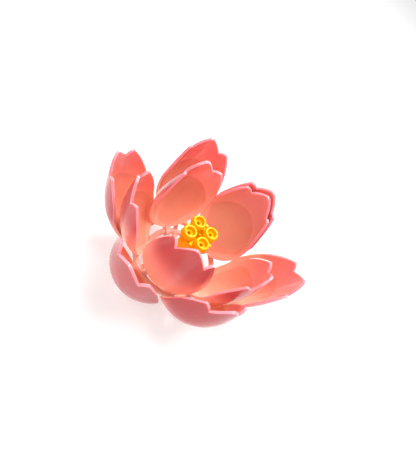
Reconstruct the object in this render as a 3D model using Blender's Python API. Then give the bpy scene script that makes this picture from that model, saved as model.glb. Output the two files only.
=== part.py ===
"""Toy lotus flower head: eleven clip-on petals on two ring carriers, round a yellow centre.

Sizes are in millimetres in the flower's own frame: z runs along the flower's axis and is zero
at the rims of the four cups, x and y run along the sides of the square that the cups stand in.
The flower stands upright on its hub, so that frame is only lifted, by the hub's depth.
"""
import math

import bmesh
import bpy
import numpy as np
from mathutils import Matrix, Vector

MM = 0.001
GAP = 0.3

# Petal shell, measured along its midline from the root (0) to the tip (1).
PETAL_LENGTH = 54.7
PETAL_THICKNESS = 1.3
WIDEST_AT, WIDEST_HALF_GIRTH = 0.48, 20.6
EAR_AT, EAR_HALF_GIRTH = 0.92, 11.3
NOTCH_AT, NOTCH_HALF_GIRTH = 0.864, 7.7
ROOT_ROUNDNESS = 2.45
SHOULDER_ROUNDNESS = 2.15
LOBE_FULLNESS = 1.3
MIDLINE_BEND = ((0.0, 0.013), (0.35, 0.0425), (1.0, -0.0065))
SECTION_BEND = ((0.0, 0.053), (0.5, 0.057), (1.0, 0.077))
PETAL_ROWS = 12
PETAL_COLUMNS = (0.0, 0.22, 0.45, 0.68, 0.86, 1.0)

# Ring carriers and the clips that snap over their bars.
BAR_RADIUS = 1.5
OUTER_RING_RADIUS, OUTER_RING_Z = 21.8, -31.3
INNER_RING_RADIUS, INNER_RING_Z = 15.3, -32.4
CLIP_BORE, CLIP_WALL, CLIP_WIDTH = BAR_RADIUS + GAP + 0.15, 0.6, 2.5
CLIP_MOUTH = 100.0
CLIP_MOUTH_AIM = 180.0
ROOT_REACH, ROOT_RISE = 2.9, 1.7
TANG_REACH, HEEL_REACH, HEEL_DROP = 5.0, 3.4, -2.3
PAD_FRONT, PAD_HALF_WIDTH, PAD_DROP = 3.25, 4.0, 0.4

# How each petal sits on its bar, in degrees: azimuth round the axis, opening above the
# horizontal, lean about its own length, and swivel about the axis of the flower.
OUTER_PETALS = (
    (192.4, 15.7, -1.5, 0.5), (132.4, 28.4, 0.0, 0.0), (71.4, 36.7, 1.1, -0.4),
    (14.7, 13.9, 1.2, 0.4), (-51.1, 25.5, -5.5, 3.9), (-104.4, 19.2, -0.2, -0.4),
)
INNER_PETALS = (
    (204.6, 23.0, 0.1, 0.0), (146.1, 37.7, 1.1, -1.6), (68.6, 31.8, -0.5, -0.4),
    (-6.3, 26.9, 0.0, -0.2), (-82.5, 39.6, 0.4, 1.0),
)

# Spokes and posts of the carriers.
COLLAR_RADIUS, COLLAR_DEPTH = 6.5, 2.2
SPOKE_WIDTH = 2.4
INNER_SPOKES = tuple(126.0 + 90.0 * k for k in range(4))
OUTER_SPOKES = tuple(1.5 + 60.0 * k for k in range(6))
LOWER_COLLAR_TOP = -35.1
POST_RADIUS = 1.0

# Hub and the pin that holds the stack together.
PIN_RADIUS = 2.3
PIN_BORE = PIN_RADIUS + GAP
HUB_RADIUS, HUB_DEPTH, HUB_FLOOR = 9.0, 2.7, 0.7
SPACER_RADIUS = 4.5
COLUMN_RADIUS, COLUMN_TOP = 5.0, -14.4
LOWER_COLLAR_BOTTOM = LOWER_COLLAR_TOP - COLLAR_DEPTH
HUB_TOP = LOWER_COLLAR_BOTTOM - GAP
HUB_BOTTOM = HUB_TOP - HUB_DEPTH

# Yellow centre.
CUP_PITCH = 8.0
CUP_RIM_RADIUS, CUP_BORE, CUP_STEP_BORE, CUP_DIMPLE = 3.2, 2.35, 1.95, 0.85
CUP_COLLAR_DEPTH, CUP_STEP_AT, CUP_FLOOR_AT, CUP_DIMPLE_DEPTH = 1.3, 1.4, 2.2, 0.9
CUP_BODY_RADIUS, CUP_BODY_BOTTOM = 4.25, -3.5
CUP_POST_RADIUS, CUP_POST_BOTTOM = 1.6, -8.6
BASE_HALF_SIDE, BASE_CORNER, BASE_TOP, BASE_BOTTOM = 5.75, 1.8, -6.2, -14.1
SOCKET_BOTTOM = CUP_POST_BOTTOM - GAP
PIN_TOP = -9.8
RIB_WIDTH, RIB_REACH, RIB_INSET, RIB_TOP, RIB_LEDGE = 0.9, 7.9, 6.75, -1.8, -3.8

PETAL_PINK = (0.91, 0.23, 0.20)
STRUCTURE_PINK = (0.80, 0.22, 0.18)
CENTRE_YELLOW = (0.95, 0.62, 0.0)


def clear_scene():
    """Remove every object, so that the model starts from an empty scene."""
    for obj in list(bpy.data.objects):
        bpy.data.objects.remove(obj)


def make_material(name, color, roughness):
    """Return a Principled material of one colour."""
    material = bpy.data.materials.new(name)
    material.use_nodes = True
    shader = material.node_tree.nodes["Principled BSDF"]
    shader.inputs["Base Color"].default_value = (*color, 1.0)
    shader.inputs["Roughness"].default_value = roughness
    shader.inputs["Metallic"].default_value = 0.0
    return material


def mesh_from(name, vertices, faces):
    """Return a mesh in metres with consistent outward faces, from millimetre points."""
    mesh = bpy.data.meshes.new(name)
    mesh.from_pydata([Vector(v) * MM for v in vertices], [], faces)
    bm = bmesh.new()
    bm.from_mesh(mesh)
    bmesh.ops.remove_doubles(bm, verts=bm.verts, dist=0.01 * MM)
    bmesh.ops.recalc_face_normals(bm, faces=bm.faces)
    bm.to_mesh(mesh)
    bm.free()
    return mesh


def add_object(name, mesh, material, parent):
    """Place a mesh under the flower's frame as one named piece, shaded smooth."""
    mesh.shade_smooth()
    mesh.set_sharp_from_angle(angle=math.radians(35))
    obj = bpy.data.objects.new(name, mesh)
    if not mesh.materials:
        mesh.materials.append(material)
    bpy.context.scene.collection.objects.link(obj)
    obj.parent = parent
    return obj


def ring_faces(rows, columns, wrap_rows):
    """Return the quads of a grid of closed rings, joined end to end where wrap_rows is set."""
    faces = []
    for i in range(rows if wrap_rows else rows - 1):
        for j in range(columns):
            k = (j + 1) % columns
            n = (i + 1) % rows
            faces.append((i * columns + j, i * columns + k, n * columns + k, n * columns + j))
    return faces


def turned(name, profile, segments=32, radius_at=None):
    """Return a turned mesh from (radius, z) points that run round a closed section.

    A section that starts and ends on the axis is capped there by its zero radii; any other
    section closes on itself and leaves a bore. radius_at(radius, angle) can reshape a ring.
    """
    on_axis = profile[0][0] == 0.0
    points = profile[1:-1] if on_axis else profile
    vertices = []
    for radius, z in points:
        for j in range(segments):
            angle = 2 * math.pi * j / segments
            r = radius_at(radius, angle) if radius_at else radius
            vertices.append((r * math.cos(angle), r * math.sin(angle), z))
    faces = ring_faces(len(points), segments, wrap_rows=not on_axis)
    if on_axis:
        faces.append(tuple(range(segments)))
        faces.append(tuple(len(vertices) - segments + j for j in range(segments)))
    return mesh_from(name, vertices, faces)


def torus(name, ring_radius, z, segments=60, sides=10):
    """Return the mesh of a round bar bent to a ring."""
    section = []
    for j in range(sides):
        angle = 2 * math.pi * j / sides
        section.append((ring_radius + BAR_RADIUS * math.cos(angle), z + BAR_RADIUS * math.sin(angle)))
    return turned(name, section, segments)


def prism(name, outline, low, high, place):
    """Return a prism between two heights over an outline, with place(a, b, height) for its points."""
    count = len(outline)
    vertices = [place(a, b, low) for a, b in outline] + [place(a, b, high) for a, b in outline]
    faces = ring_faces(2, count, wrap_rows=False)
    faces.append(tuple(range(count)))
    faces.append(tuple(range(count, 2 * count)))
    return mesh_from(name, vertices, faces)


def spoke_mesh(name, azimuth, start, end, low, high):
    """Return a straight flat spoke between two radii at one azimuth."""
    turn = math.radians(azimuth)
    half = SPOKE_WIDTH / 2

    def place(a, b, height):
        return (a * math.cos(turn) - b * math.sin(turn), a * math.sin(turn) + b * math.cos(turn), height)

    return prism(name, ((start, -half), (end, -half), (end, half), (start, half)), low, high, place)


def post_mesh(name, azimuth, radius, low, high, sides=10):
    """Return an upright round post that stands at one azimuth on a ring."""
    turn = math.radians(azimuth)
    centre = (radius * math.cos(turn), radius * math.sin(turn))
    outline = []
    for j in range(sides):
        angle = 2 * math.pi * j / sides
        outline.append((centre[0] + POST_RADIUS * math.cos(angle), centre[1] + POST_RADIUS * math.sin(angle)))
    return prism(name, outline, low, high, lambda a, b, height: (a, b, height))


def joined(name, base, operands, operation="UNION"):
    """Return the mesh that a Boolean makes of a base mesh and each operand mesh in turn."""
    body = bpy.data.objects.new(name, base)
    bpy.context.scene.collection.objects.link(body)
    helpers = []
    for mesh in operands:
        helper = bpy.data.objects.new(name + "_helper", mesh)
        bpy.context.scene.collection.objects.link(helper)
        modifier = body.modifiers.new(operation.title(), "BOOLEAN")
        modifier.operation = operation
        modifier.solver = "EXACT"
        modifier.object = helper
        helpers.append(helper)
    evaluated = body.evaluated_get(bpy.context.evaluated_depsgraph_get())
    result = bpy.data.meshes.new_from_object(evaluated)
    for obj in [body, *helpers]:
        bpy.data.objects.remove(obj)
    result.materials.clear()
    return result


# ---- petal ---------------------------------------------------------------------------------


def read_bend(table, at):
    """Read a curvature (per millimetre) from its table at a fraction of the petal's length."""
    return np.interp(at, [row[0] for row in table], [row[1] for row in table])


def midline():
    """Return fractions, forward and upward distances and slopes along the petal's midline."""
    at = np.linspace(0.0, 1.0, 201)
    step = PETAL_LENGTH / (len(at) - 1)
    bend = read_bend(MIDLINE_BEND, at)
    slope = np.concatenate([[0.0], np.cumsum((bend[1:] + bend[:-1]) / 2 * step)])
    forward = np.concatenate([[0.0], np.cumsum(np.cos((slope[1:] + slope[:-1]) / 2) * step)])
    upward = np.concatenate([[0.0], np.cumsum(np.sin((slope[1:] + slope[:-1]) / 2) * step)])
    return at, forward + ROOT_REACH, upward + ROOT_RISE, slope


def half_girth(at):
    """Half of the petal's width, measured round its curved section."""
    if at < WIDEST_AT:
        return WIDEST_HALF_GIRTH * math.sqrt(1.0 - ((WIDEST_AT - at) / WIDEST_AT) ** ROOT_ROUNDNESS)
    beyond = (at - WIDEST_AT) / (EAR_AT - WIDEST_AT)
    return WIDEST_HALF_GIRTH - (WIDEST_HALF_GIRTH - EAR_HALF_GIRTH) * beyond ** SHOULDER_ROUNDNESS


def tip_at(girth):
    """Fraction of the length that the three-lobed tip reaches at a distance from the midline."""
    girth = abs(girth)
    if girth <= NOTCH_HALF_GIRTH:
        return 1.0 - (1.0 - NOTCH_AT) * (girth / NOTCH_HALF_GIRTH) ** LOBE_FULLNESS
    rise = (girth - NOTCH_HALF_GIRTH) / (EAR_HALF_GIRTH - NOTCH_HALF_GIRTH)
    return NOTCH_AT + (EAR_AT - NOTCH_AT) * math.sqrt(rise)


def petal_point(line, at, girth, offset):
    """Return the point at a fraction and a girth, moved off the middle of the shell's thickness."""
    fractions, forward, upward, slope = line
    x, z, tilt = (np.interp(at, fractions, values) for values in (forward, upward, slope))
    bend = read_bend(SECTION_BEND, at)
    turn = girth * bend
    side = math.sin(turn) / bend - offset * math.sin(turn)
    rise = (1.0 - math.cos(turn)) / bend + offset * math.cos(turn)
    return (x - math.sin(tilt) * rise, side, z + math.cos(tilt) * rise)


def shell_mesh(name):
    """Return the spoon-shaped shell: a grid on each face and a rim all round."""
    line = midline()
    columns = [-c for c in PETAL_COLUMNS[:0:-1]] + list(PETAL_COLUMNS)
    rows = [(i / PETAL_ROWS) ** 1.5 for i in range(1, PETAL_ROWS + 1)]
    vertices = []
    for offset in (-PETAL_THICKNESS / 2, PETAL_THICKNESS / 2):
        vertices.append(petal_point(line, 0.0, 0.0, offset))
        for row in rows:
            width = half_girth(row * EAR_AT)
            for column in columns:
                crest = tip_at(column * EAR_HALF_GIRTH) - EAR_AT
                vertices.append(petal_point(line, row * EAR_AT + crest * row ** 6, column * width, offset))
    per_side = len(vertices) // 2
    count = len(columns)
    faces = []
    for side in (0, per_side):
        for j in range(count - 1):
            faces.append((side, side + 1 + j, side + 2 + j))
        for i in range(len(rows) - 1):
            for j in range(count - 1):
                a = side + 1 + i * count + j
                faces.append((a, a + 1, a + 1 + count, a + count))
    left = [1 + i * count for i in range(len(rows))]
    top = [1 + (len(rows) - 1) * count + j for j in range(1, count)]
    right = [1 + i * count + count - 1 for i in range(len(rows) - 2, -1, -1)]
    rim = [0, *left, *top, *right]
    for a, b in zip(rim, rim[1:] + rim[:1]):
        faces.append((a, b, b + per_side, a + per_side))
    return mesh_from(name, vertices, faces)


def clip_mesh(name, steps=12):
    """Return the C-shaped clip that holds the ring's bar, with its bore on the petal's origin."""
    half_mouth = CLIP_MOUTH / 2
    start, end = CLIP_MOUTH_AIM + half_mouth, CLIP_MOUTH_AIM + 360.0 - half_mouth
    angles = [math.radians(start + (end - start) * i / steps) for i in range(steps + 1)]
    outer = CLIP_BORE + CLIP_WALL
    outline = [(outer * math.cos(a), outer * math.sin(a)) for a in angles]
    outline += [(CLIP_BORE * math.cos(a), CLIP_BORE * math.sin(a)) for a in reversed(angles)]
    return prism(name, outline, -CLIP_WIDTH / 2, CLIP_WIDTH / 2, lambda a, b, height: (a, height, b))


def tang_mesh(name):
    """Return the tang: a heel behind the clip that runs up to the underside of the shell."""
    back = CLIP_BORE + CLIP_WALL / 2
    turns = [math.radians(angle) for angle in range(70, -81, -25)]
    outline = [(back * math.cos(turn), back * math.sin(turn)) for turn in turns]
    outline += [
        (HEEL_REACH - 1.0, HEEL_DROP), (HEEL_REACH, HEEL_DROP + 1.0),
        (TANG_REACH, ROOT_RISE - 0.1), (ROOT_REACH + 0.3, ROOT_RISE + 0.3),
    ]
    return prism(name, outline, -CLIP_WIDTH / 2, CLIP_WIDTH / 2, lambda a, b, height: (a, height, b))


def pad_mesh(name):
    """Return the pad that thickens the shell's root on both sides of the tang."""
    end = PAD_FRONT + 1.7
    outline = (
        (PAD_FRONT, PAD_DROP), (PAD_FRONT + 0.3, PAD_DROP), (end, ROOT_RISE - 0.4),
        (end, ROOT_RISE + 0.3), (PAD_FRONT, ROOT_RISE + 0.2),
    )
    return prism(name, outline, -PAD_HALF_WIDTH, PAD_HALF_WIDTH, lambda a, b, height: (a, height, b))


def build_petals(material, frame):
    """Clip both rings of petals to their bars; all of them share one moulded shape."""
    petal = joined("petal", shell_mesh("shell"), [clip_mesh("clip"), tang_mesh("tang"), pad_mesh("pad")])
    rings = (
        ("outer", OUTER_PETALS, OUTER_RING_RADIUS, OUTER_RING_Z),
        ("inner", INNER_PETALS, INNER_RING_RADIUS, INNER_RING_Z),
    )
    for ring, petals, radius, z in rings:
        for number, (azimuth, opening, lean, swivel) in enumerate(petals, start=1):
            obj = add_object(f"{ring}_petal_{number}", petal, material, frame)
            turn = math.radians(azimuth)
            obj.location = Vector((radius * math.cos(turn), radius * math.sin(turn), z)) * MM
            obj.rotation_euler = (math.radians(lean), -math.radians(opening), turn + math.radians(swivel))


# ---- carriers and hub ----------------------------------------------------------------------


def collar_mesh(name, top):
    """Return the bored collar at the middle of a carrier."""
    bottom = top - COLLAR_DEPTH
    section = ((PIN_BORE, top), (PIN_BORE, bottom), (COLLAR_RADIUS, bottom), (COLLAR_RADIUS, top))
    return turned(name, section)


def build_inner_carrier(material, frame):
    """Make the ring that the inner petals clip to, level with its four spokes."""
    top = INNER_RING_Z + COLLAR_DEPTH / 2
    low, high = INNER_RING_Z - BAR_RADIUS * 0.6, INNER_RING_Z + BAR_RADIUS * 0.6
    spokes = [
        spoke_mesh("spoke", azimuth, PIN_BORE + 1.5, INNER_RING_RADIUS, low, high) for azimuth in INNER_SPOKES
    ]
    ring = torus("ring", INNER_RING_RADIUS, INNER_RING_Z)
    mesh = joined("inner_carrier", collar_mesh("collar", top), [ring, *spokes])
    add_object("inner_ring_carrier", mesh, material, frame)


def build_outer_carrier(material, frame):
    """Make the basket that the outer petals clip to: low spokes, upright posts and a ring."""
    parts = [torus("ring", OUTER_RING_RADIUS, OUTER_RING_Z)]
    low, high = LOWER_COLLAR_BOTTOM + 0.2, LOWER_COLLAR_TOP - 0.2
    reach = OUTER_RING_RADIUS + POST_RADIUS * 0.8
    for azimuth in OUTER_SPOKES:
        parts.append(spoke_mesh("spoke", azimuth, PIN_BORE + 1.5, reach, low, high))
        parts.append(post_mesh("post", azimuth, OUTER_RING_RADIUS, low + 0.2, OUTER_RING_Z))
    mesh = joined("outer_carrier", collar_mesh("collar", LOWER_COLLAR_TOP), parts)
    add_object("outer_ring_carrier", mesh, material, frame)


def build_hub(material, frame):
    """Stack the hub: flat foot, spacer, column, and the pin that runs through them all."""
    foot = (
        (0.0, HUB_BOTTOM), (HUB_RADIUS - 0.6, HUB_BOTTOM), (HUB_RADIUS, HUB_BOTTOM + 0.6),
        (HUB_RADIUS, HUB_TOP), (PIN_BORE, HUB_TOP),
        (PIN_BORE, HUB_BOTTOM + HUB_FLOOR), (0.0, HUB_BOTTOM + HUB_FLOOR),
    )
    add_object("hub_foot", turned("foot", foot), material, frame)

    spacer_low, spacer_high = LOWER_COLLAR_TOP + GAP, INNER_RING_Z - COLLAR_DEPTH / 2 - GAP
    spacer = (
        (PIN_BORE, spacer_high), (PIN_BORE, spacer_low),
        (SPACER_RADIUS, spacer_low), (SPACER_RADIUS, spacer_high),
    )
    add_object("hub_spacer", turned("spacer", spacer), material, frame)

    column_low = INNER_RING_Z + COLLAR_DEPTH / 2 + GAP
    column = (
        (PIN_BORE, COLUMN_TOP), (PIN_BORE, column_low),
        (COLUMN_RADIUS, column_low), (COLUMN_RADIUS, COLUMN_TOP),
    )
    add_object("hub_column", turned("column", column), material, frame)

    pin_low = HUB_BOTTOM + HUB_FLOOR + GAP
    pin = ((0.0, pin_low), (PIN_RADIUS, pin_low), (PIN_RADIUS, PIN_TOP), (0.0, PIN_TOP))
    add_object("centre_pin", turned("pin", pin, 24), material, frame)


# ---- yellow centre -------------------------------------------------------------------------


def cup_mesh(name):
    """Return one cup: a rim round a stepped bore, a wide body with two flats, and a post."""
    flat = CUP_PITCH / 2 - GAP / 2

    def lobe(radius, angle):
        if radius < CUP_BODY_RADIUS - 0.3:
            return radius
        across = max(math.cos(angle), math.sin(angle))
        return min(radius, flat / across) if across > 0.0 else radius

    shoulder = -CUP_COLLAR_DEPTH
    section = (
        (0.0, CUP_POST_BOTTOM), (CUP_POST_RADIUS, CUP_POST_BOTTOM), (CUP_POST_RADIUS, CUP_BODY_BOTTOM),
        (CUP_BODY_RADIUS, CUP_BODY_BOTTOM), (CUP_BODY_RADIUS, shoulder - 0.3),
        (CUP_BODY_RADIUS - 0.3, shoulder), (CUP_RIM_RADIUS, shoulder), (CUP_RIM_RADIUS, -0.2),
        (CUP_RIM_RADIUS - 0.2, 0.0), (CUP_BORE, 0.0), (CUP_BORE, -CUP_STEP_AT), (CUP_STEP_BORE, -CUP_STEP_AT),
        (CUP_STEP_BORE, -CUP_FLOOR_AT), (CUP_DIMPLE, -CUP_FLOOR_AT),
        (CUP_DIMPLE, -CUP_FLOOR_AT - CUP_DIMPLE_DEPTH), (0.0, -CUP_FLOOR_AT - CUP_DIMPLE_DEPTH),
    )
    return turned(name, section, 24, radius_at=lobe)


def rounded_square(half, corner, steps=4):
    """Return the outline of a square with round corners."""
    outline = []
    for quadrant in range(4):
        turn = math.pi / 2 * quadrant
        centre = Vector((half - corner, half - corner))
        for i in range(steps + 1):
            angle = math.pi / 2 * i / steps
            a = centre.x + corner * math.cos(angle)
            b = centre.y + corner * math.sin(angle)
            outline.append((a * math.cos(turn) - b * math.sin(turn), a * math.sin(turn) + b * math.cos(turn)))
    return outline


def rib_mesh(name, azimuth):
    """Return one hooked rib that rises from the base into the gap between two cups."""
    turn = math.radians(azimuth)
    outline = (
        (BASE_HALF_SIDE - 1.0, BASE_TOP - 0.6), (RIB_REACH - 0.6, BASE_TOP + 0.8), (RIB_REACH, RIB_LEDGE),
        (RIB_REACH, RIB_TOP), (RIB_INSET, RIB_TOP), (RIB_INSET, RIB_LEDGE - GAP),
        (BASE_HALF_SIDE - 1.0, RIB_LEDGE - GAP),
    )

    def place(a, b, height):
        return (a * math.cos(turn) - height * math.sin(turn), a * math.sin(turn) + height * math.cos(turn), b)

    return prism(name, outline, -RIB_WIDTH / 2, RIB_WIDTH / 2, place)


def build_centre(material, frame):
    """Make the yellow base and the four cups whose posts stand in its sockets."""
    block = prism("block", rounded_square(BASE_HALF_SIDE, BASE_CORNER), BASE_BOTTOM, BASE_TOP,
                  lambda a, b, height: (a, b, height))
    block = joined("block", block, [rib_mesh("rib", 90.0 * k) for k in range(4)])
    half = CUP_PITCH / 2
    seats = [(sx * half, sy * half) for sx in (1, -1) for sy in (1, -1)]
    bores = []
    for x, y in [*seats, (0.0, 0.0)]:
        at_axis = x == 0.0
        radius = PIN_BORE if at_axis else CUP_POST_RADIUS + GAP
        low = BASE_BOTTOM - 1.0 if at_axis else SOCKET_BOTTOM
        high = PIN_TOP + GAP if at_axis else BASE_TOP + 1.0
        bore = turned("bore", ((0.0, low), (radius, low), (radius, high), (0.0, high)), 32)
        bore.transform(Matrix.Translation(Vector((x, y, 0.0)) * MM))
        bores.append(bore)
    add_object("stamen_base", joined("stamen_base", block, bores, "DIFFERENCE"), material, frame)

    cup = cup_mesh("cup")
    corners = ((-1, -1, 0), (1, -1, 90), (1, 1, 180), (-1, 1, 270))
    for number, (sx, sy, turn) in enumerate(corners, start=1):
        obj = add_object(f"stamen_cup_{number}", cup, material, frame)
        obj.location = Vector((sx * half, sy * half, 0.0)) * MM
        obj.rotation_euler = (0.0, 0.0, math.radians(turn))


def main():
    """Build the flower upright, with the foot of its hub on the ground."""
    clear_scene()
    frame = bpy.data.objects.new("flower_frame", None)
    bpy.context.scene.collection.objects.link(frame)
    frame.location = (0.0, 0.0, -HUB_BOTTOM * MM)
    petal_plastic = make_material("petal_plastic", PETAL_PINK, 0.25)
    structure_plastic = make_material("structure_plastic", STRUCTURE_PINK, 0.3)
    centre_plastic = make_material("centre_plastic", CENTRE_YELLOW, 0.25)
    build_petals(petal_plastic, frame)
    build_inner_carrier(structure_plastic, frame)
    build_outer_carrier(structure_plastic, frame)
    build_hub(structure_plastic, frame)
    build_centre(centre_plastic, frame)
    bpy.context.view_layer.update()


main()
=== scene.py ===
"""Toy lotus flower head: eleven glossy petals clipped to two ring carriers, round a yellow centre.

Everything is modelled in millimetres in the flower's own frame, whose z is zero at the rims of
the four cups, and is then scaled to metres and lifted so that the foot of the hub is on the floor.
"""

import logging
import math
from collections.abc import Iterator, Sequence
from contextlib import contextmanager
from dataclasses import dataclass, field
from enum import Enum
from typing import Any

import bpy
from mathutils import Euler, Matrix, Vector


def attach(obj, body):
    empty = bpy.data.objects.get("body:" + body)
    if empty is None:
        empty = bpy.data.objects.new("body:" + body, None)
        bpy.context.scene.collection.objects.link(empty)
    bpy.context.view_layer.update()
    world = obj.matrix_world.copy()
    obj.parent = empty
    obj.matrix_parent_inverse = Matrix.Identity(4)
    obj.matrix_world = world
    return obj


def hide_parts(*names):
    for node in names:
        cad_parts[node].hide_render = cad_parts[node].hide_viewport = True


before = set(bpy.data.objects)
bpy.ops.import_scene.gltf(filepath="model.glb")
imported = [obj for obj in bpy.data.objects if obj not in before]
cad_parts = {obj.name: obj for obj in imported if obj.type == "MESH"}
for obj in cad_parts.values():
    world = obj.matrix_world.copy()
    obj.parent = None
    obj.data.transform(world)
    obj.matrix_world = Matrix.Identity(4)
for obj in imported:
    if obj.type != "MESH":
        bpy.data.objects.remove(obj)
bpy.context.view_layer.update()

Pair = tuple[float, float]
Triple = tuple[float, float, float]
Colour = Triple
Outline = tuple[Pair, ...]

LOG = logging.getLogger("toy_lotus")
BODY = "root"
MM = 0.001
FOOT_TO_RIMS = 40.3
TO_ROW_FRAME = Matrix.Scale(MM, 4) @ Matrix.Translation((0.0, 0.0, FOOT_TO_RIMS))
AS_DRAWN = Matrix.Identity(4)
ON_EDGE = Matrix.Rotation(math.radians(90.0), 4, "X")
WELD = 0.01
SMOOTH_BELOW = math.radians(38.0)
ARC_SHARE = 0.3
WHITE = (1.0, 1.0, 1.0, 1.0)


class Slot(Enum):
    """Material slots of the record that the pieces take their finish from."""

    PETAL = "petal_plastic"
    STRUCTURE = "structure_plastic"
    CENTRE = "centre_plastic"


class Cut(Enum):
    """What a second solid does to the piece that it is combined with."""

    JOIN = "UNION"
    TAKE_AWAY = "DIFFERENCE"


class Paint(Enum):
    """How a second colour lies on a first one."""

    COVER = "MIX"
    TINT = "MULTIPLY"


@dataclass(frozen=True)
class Ring:
    """The middle line of a carrier's ring, which the petals' clips go round."""

    radius: float
    height: float


OUTER_RING = Ring(21.8, -31.3)
INNER_RING = Ring(15.3, -32.4)
STACK_BORE = 2.6


# ---- modelling bench -----------------------------------------------------------------------


def pick(*pieces: bpy.types.Object) -> None:
    """Select these objects and nothing else, the first one active."""
    bpy.ops.object.select_all(action="DESELECT")
    for piece in pieces:
        piece.select_set(True)
    bpy.context.view_layer.objects.active = pieces[0]


@contextmanager
def editing(piece: bpy.types.Object) -> Iterator[None]:
    """Hold one piece in edit mode with all of it selected.

    Args:
        piece: The mesh object to edit.
    """
    pick(piece)
    bpy.ops.object.mode_set(mode="EDIT")
    bpy.ops.mesh.select_mode(type="VERT")
    bpy.ops.mesh.select_all(action="SELECT")
    yield
    bpy.ops.object.mode_set(mode="OBJECT")


def settle(piece: bpy.types.Object, place: Matrix) -> None:
    """Put a piece's place into its mesh, and leave the object at the origin.

    Args:
        piece: The object that is moved.
        place: Where it goes.
    """
    piece.matrix_world = place
    pick(piece)
    bpy.ops.object.transform_apply()


def tidy_shell(piece: bpy.types.Object) -> bpy.types.Object:
    """Merge doubled points and point every face outwards.

    Args:
        piece: The mesh object to clean.

    Returns:
        The same object.
    """
    with editing(piece):
        bpy.ops.mesh.remove_doubles(threshold=WELD)
        bpy.ops.mesh.normals_make_consistent(inside=False)
    return piece


def apply_modifier(piece: bpy.types.Object, kind: str, **settings: Any) -> None:
    """Add a modifier with these settings and apply it.

    Args:
        piece: The object that takes the modifier.
        kind: The modifier's type.
        **settings: Values of its properties.
    """
    modifier = piece.modifiers.new(kind.title(), kind)
    for key, value in settings.items():
        setattr(modifier, key, value)
    pick(piece)
    bpy.ops.object.modifier_apply(modifier=modifier.name)


def round_edges(piece: bpy.types.Object, width: float, segments: int = 2, angle: float = 40.0) -> None:
    """Round every edge that is sharper than an angle.

    Args:
        piece: The object whose edges are rounded.
        width: Width of the rounding, in millimetres.
        segments: Number of faces across it.
        angle: Smallest angle between two faces that counts as an edge, in degrees.
    """
    apply_modifier(
        piece, "BEVEL", width=width, segments=segments, limit_method="ANGLE",
        angle_limit=math.radians(angle), harden_normals=False,
    )


def combine(base: bpy.types.Object, others: Sequence[bpy.types.Object], cut: Cut = Cut.JOIN) -> None:
    """Join other solids to a base, or take them away from it, and remove them.

    Args:
        base: The solid that stays.
        others: The solids that are used up.
        cut: Whether they are joined or taken away.
    """
    for other in others:
        apply_modifier(base, "BOOLEAN", object=other, operation=cut.value, solver="EXACT")
        bpy.data.objects.remove(other)


def turned(profile: Sequence[Pair], segments: int = 64, centre: Pair = (0.0, 0.0),
           bored: bool = False) -> bpy.types.Object:
    """Turn a solid by drawing a circle out through a row of radii and heights.

    Args:
        profile: Radius and height of each ring, in order. Where bored is set, the rings run
            round a closed section, and the last one joins the first.
        segments: Number of sides.
        centre: Where the solid's axis stands.
        bored: Whether the solid has a bore through it.

    Returns:
        The turned solid.
    """
    radius, height = profile[0]
    bpy.ops.mesh.primitive_circle_add(
        vertices=segments, radius=radius, location=(*centre, height), calc_uvs=False,
        fill_type="NOTHING" if bored else "NGON",
    )
    piece = bpy.context.object
    bpy.ops.object.transform_apply(location=True, rotation=False, scale=False)
    stops = [*profile[1:], profile[0]] if bored else profile[1:]
    with editing(piece):
        for next_radius, next_height in stops:
            bpy.ops.mesh.extrude_region_move(
                TRANSFORM_OT_translate={"value": (0.0, 0.0, next_height - height)})
            grown = next_radius / radius
            bpy.ops.transform.resize(value=(grown, grown, 1.0), center_override=(*centre, next_height))
            radius, height = next_radius, next_height
    return tidy_shell(piece)


def plate(outline: Sequence[Pair], low: float, high: float, stand: Matrix = AS_DRAWN) -> bpy.types.Object:
    """Draw a disc out to an outline and extrude it to a plate.

    Args:
        outline: Corners of the plate, anticlockwise.
        low: Where the plate starts along its third axis.
        high: Where it ends.
        stand: How the plate's axes stand in the flower's frame.

    Returns:
        The plate.
    """
    bpy.ops.mesh.primitive_circle_add(vertices=len(outline), radius=1.0, fill_type="NGON", calc_uvs=False)
    piece = bpy.context.object
    for vertex, (x, y) in zip(piece.data.vertices, outline):
        vertex.co = (x, y, low)
    with editing(piece):
        bpy.ops.mesh.extrude_region_move(TRANSFORM_OT_translate={"value": (0.0, 0.0, high - low)})
    settle(piece, stand)
    return tidy_shell(piece)


def turn(degrees: float) -> Matrix:
    """Return a turn about the flower's upright axis."""
    return Matrix.Rotation(math.radians(degrees), 4, "Z")


def deliver(piece: bpy.types.Object, name: str, node: str, material: bpy.types.Material,
            place: Matrix = AS_DRAWN) -> None:
    """Set a finished piece into the row frame in place of its CAD node.

    Args:
        piece: The finished piece, in millimetres in its own frame.
        name: The piece's name.
        node: The CAD node that it stands for.
        material: Its finish.
        place: Where its own frame stands in the flower's frame.
    """
    piece.name = piece.data.name = name
    settle(piece, TO_ROW_FRAME @ place)
    bpy.ops.object.shade_smooth_by_angle(angle=SMOOTH_BELOW)
    piece.data.materials.clear()
    piece.data.materials.append(material)
    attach(piece, BODY)
    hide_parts(node)
    LOG.info("%s stands for %s: %d faces", name, node, len(piece.data.polygons))


def copy_of(piece: bpy.types.Object) -> bpy.types.Object:
    """Return a copy of a piece with a mesh of its own."""
    twin = piece.copy()
    twin.data = piece.data.copy()
    bpy.context.scene.collection.objects.link(twin)
    return twin


# ---- finishes ------------------------------------------------------------------------------


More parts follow.
